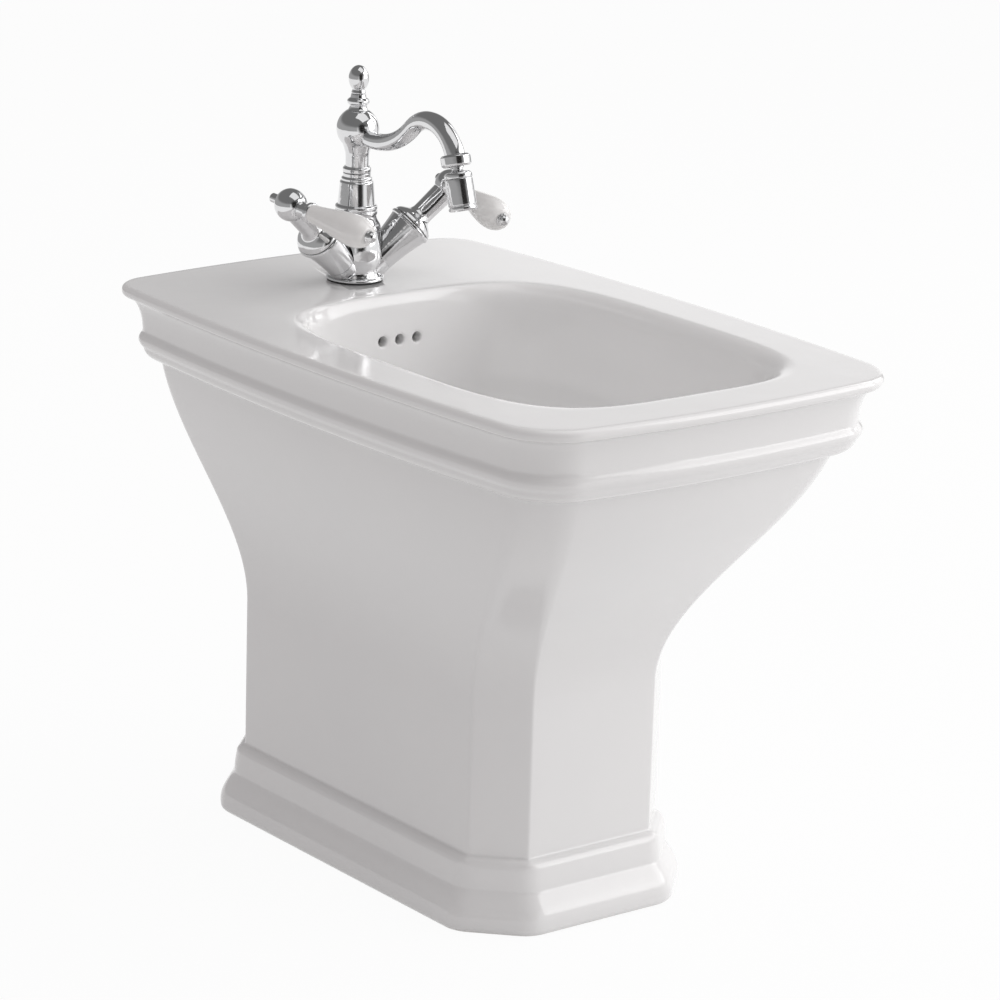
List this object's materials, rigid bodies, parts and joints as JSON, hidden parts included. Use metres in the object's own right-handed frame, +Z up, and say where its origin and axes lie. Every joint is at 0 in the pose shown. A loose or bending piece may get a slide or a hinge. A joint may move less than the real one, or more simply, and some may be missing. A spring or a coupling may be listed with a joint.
{
  "type": "floor standing bidet",
  "caption": "White pedestal bidet with a moulded rim and plinth, a deep bowl, a swivel-spout two-lever mixer and a pop-up waste.",
  "frame": {"origin": "on the floor under the middle of the rim", "axes": "+Z up, -Y towards the user's end, +Y towards the tap and the wall, +X to the right seen from the front"},
  "size_m": [0.355, 0.555, 0.5868],
  "materials": {
    "glazed_ceramic": "white gloss glaze",
    "porcelain": "white porcelain handle",
    "chrome": "polished chrome plate",
    "brass": "turned brass",
    "steel": "brushed stainless steel",
    "rubber": "black rubber",
    "white_plastic": "moulded white plastic"
  },
  "bodies": {
    "bidet": {"ceramic_body": "glazed_ceramic", "base_gasket": "rubber", "base_flange": "chrome", "mixer_body": "chrome", "column": "chrome", "swivel_nut": "chrome", "left_valve_bonnet": "chrome", "left_valve_cartridge": "brass", "right_valve_bonnet": "chrome", "right_valve_cartridge": "brass", "clamp_gasket": "rubber", "clamp_plate": "steel", "fixing_stud": "brass", "fixing_nut": "brass", "waste_flange": "chrome", "waste_gasket": "rubber", "cone_gasket": "rubber", "waste_washer": "white_plastic", "waste_nut": "white_plastic", "waste_body": "chrome", "tail_pipe": "chrome", "pivot_seat": "white_plastic", "pivot_nut": "chrome"},
    "swivel_spout": {"spout": "chrome", "spout_o_ring": "rubber", "spout_top_nut": "chrome", "outlet_ball": "chrome"},
    "nozzle_seat": {"nozzle_ball_seat": "white_plastic"},
    "nozzle": {"nozzle_collar": "chrome", "nozzle_body": "chrome", "aerator": "white_plastic"},
    "left_lever": {"left_spindle": "brass", "left_lever_skirt": "chrome", "left_lever_hub": "chrome", "left_lever_ferrule": "chrome", "left_lever_handle": "porcelain", "left_lever_tip": "chrome", "left_lever_screw": "chrome"},
    "right_lever": {"right_spindle": "brass", "right_lever_skirt": "chrome", "right_lever_hub": "chrome", "right_lever_ferrule": "chrome", "right_lever_handle": "porcelain", "right_lever_tip": "chrome", "right_lever_screw": "chrome"},
    "lift_linkage": {"lift_knob": "chrome", "lift_rod": "chrome", "lift_strap": "steel", "strap_screw": "chrome"},
    "pivot_rod": {"ball_rod": "chrome", "spring_clip": "steel"},
    "plug": {"plug_cap": "chrome", "plug_seal": "rubber", "plug_stem": "white_plastic"}
  },
  "joints": [
    {"name": "spout_swivel", "type": "hinge", "parent": "bidet", "child": "swivel_spout", "pos_m": [0, 0.178, 0.538], "axis": [0, 0, 1], "range_deg": [-60, 60]},
    {"name": "nozzle_tilt", "type": "hinge", "parent": "swivel_spout", "child": "nozzle_seat", "pos_m": [0, 0.04854, 0.52203], "axis": [1, 0, 0], "range_deg": [-15, 15]},
    {"name": "nozzle_roll", "type": "hinge", "parent": "nozzle_seat", "child": "nozzle", "pos_m": [0, 0.04854, 0.52203], "axis": [0, -0.9563, 0.2924], "range_deg": [-15, 15]},
    {"name": "left_valve", "type": "hinge", "parent": "bidet", "child": "left_lever", "pos_m": [0, 0.178, 0.42], "axis": [-0.7178, -0.1923, 0.6691], "range_deg": [0, 58]},
    {"name": "right_valve", "type": "hinge", "parent": "bidet", "child": "right_lever", "pos_m": [0, 0.178, 0.42], "axis": [-0.7178, 0.1923, -0.6691], "range_deg": [0, 58]},
    {"name": "knob_lift", "type": "slide", "parent": "bidet", "child": "lift_linkage", "axis": [0, 0, 1], "range_m": [0, 0.028]},
    {"name": "rod_pivot", "type": "hinge", "parent": "bidet", "child": "pivot_rod", "pos_m": [0, 0.064, 0.202], "axis": [1, 0, 0], "range_deg": [0, 14.02]},
    {"name": "plug_drop", "type": "slide", "parent": "bidet", "child": "plug", "axis": [0, 0, -1], "range_m": [0, 0.00837]}
  ],
  "couplings": [
    {"joint": "rod_pivot", "follows": "knob_lift", "rad_per_m": 8.7282},
    {"joint": "plug_drop", "follows": "knob_lift", "ratio": 0.29825}
  ]
}
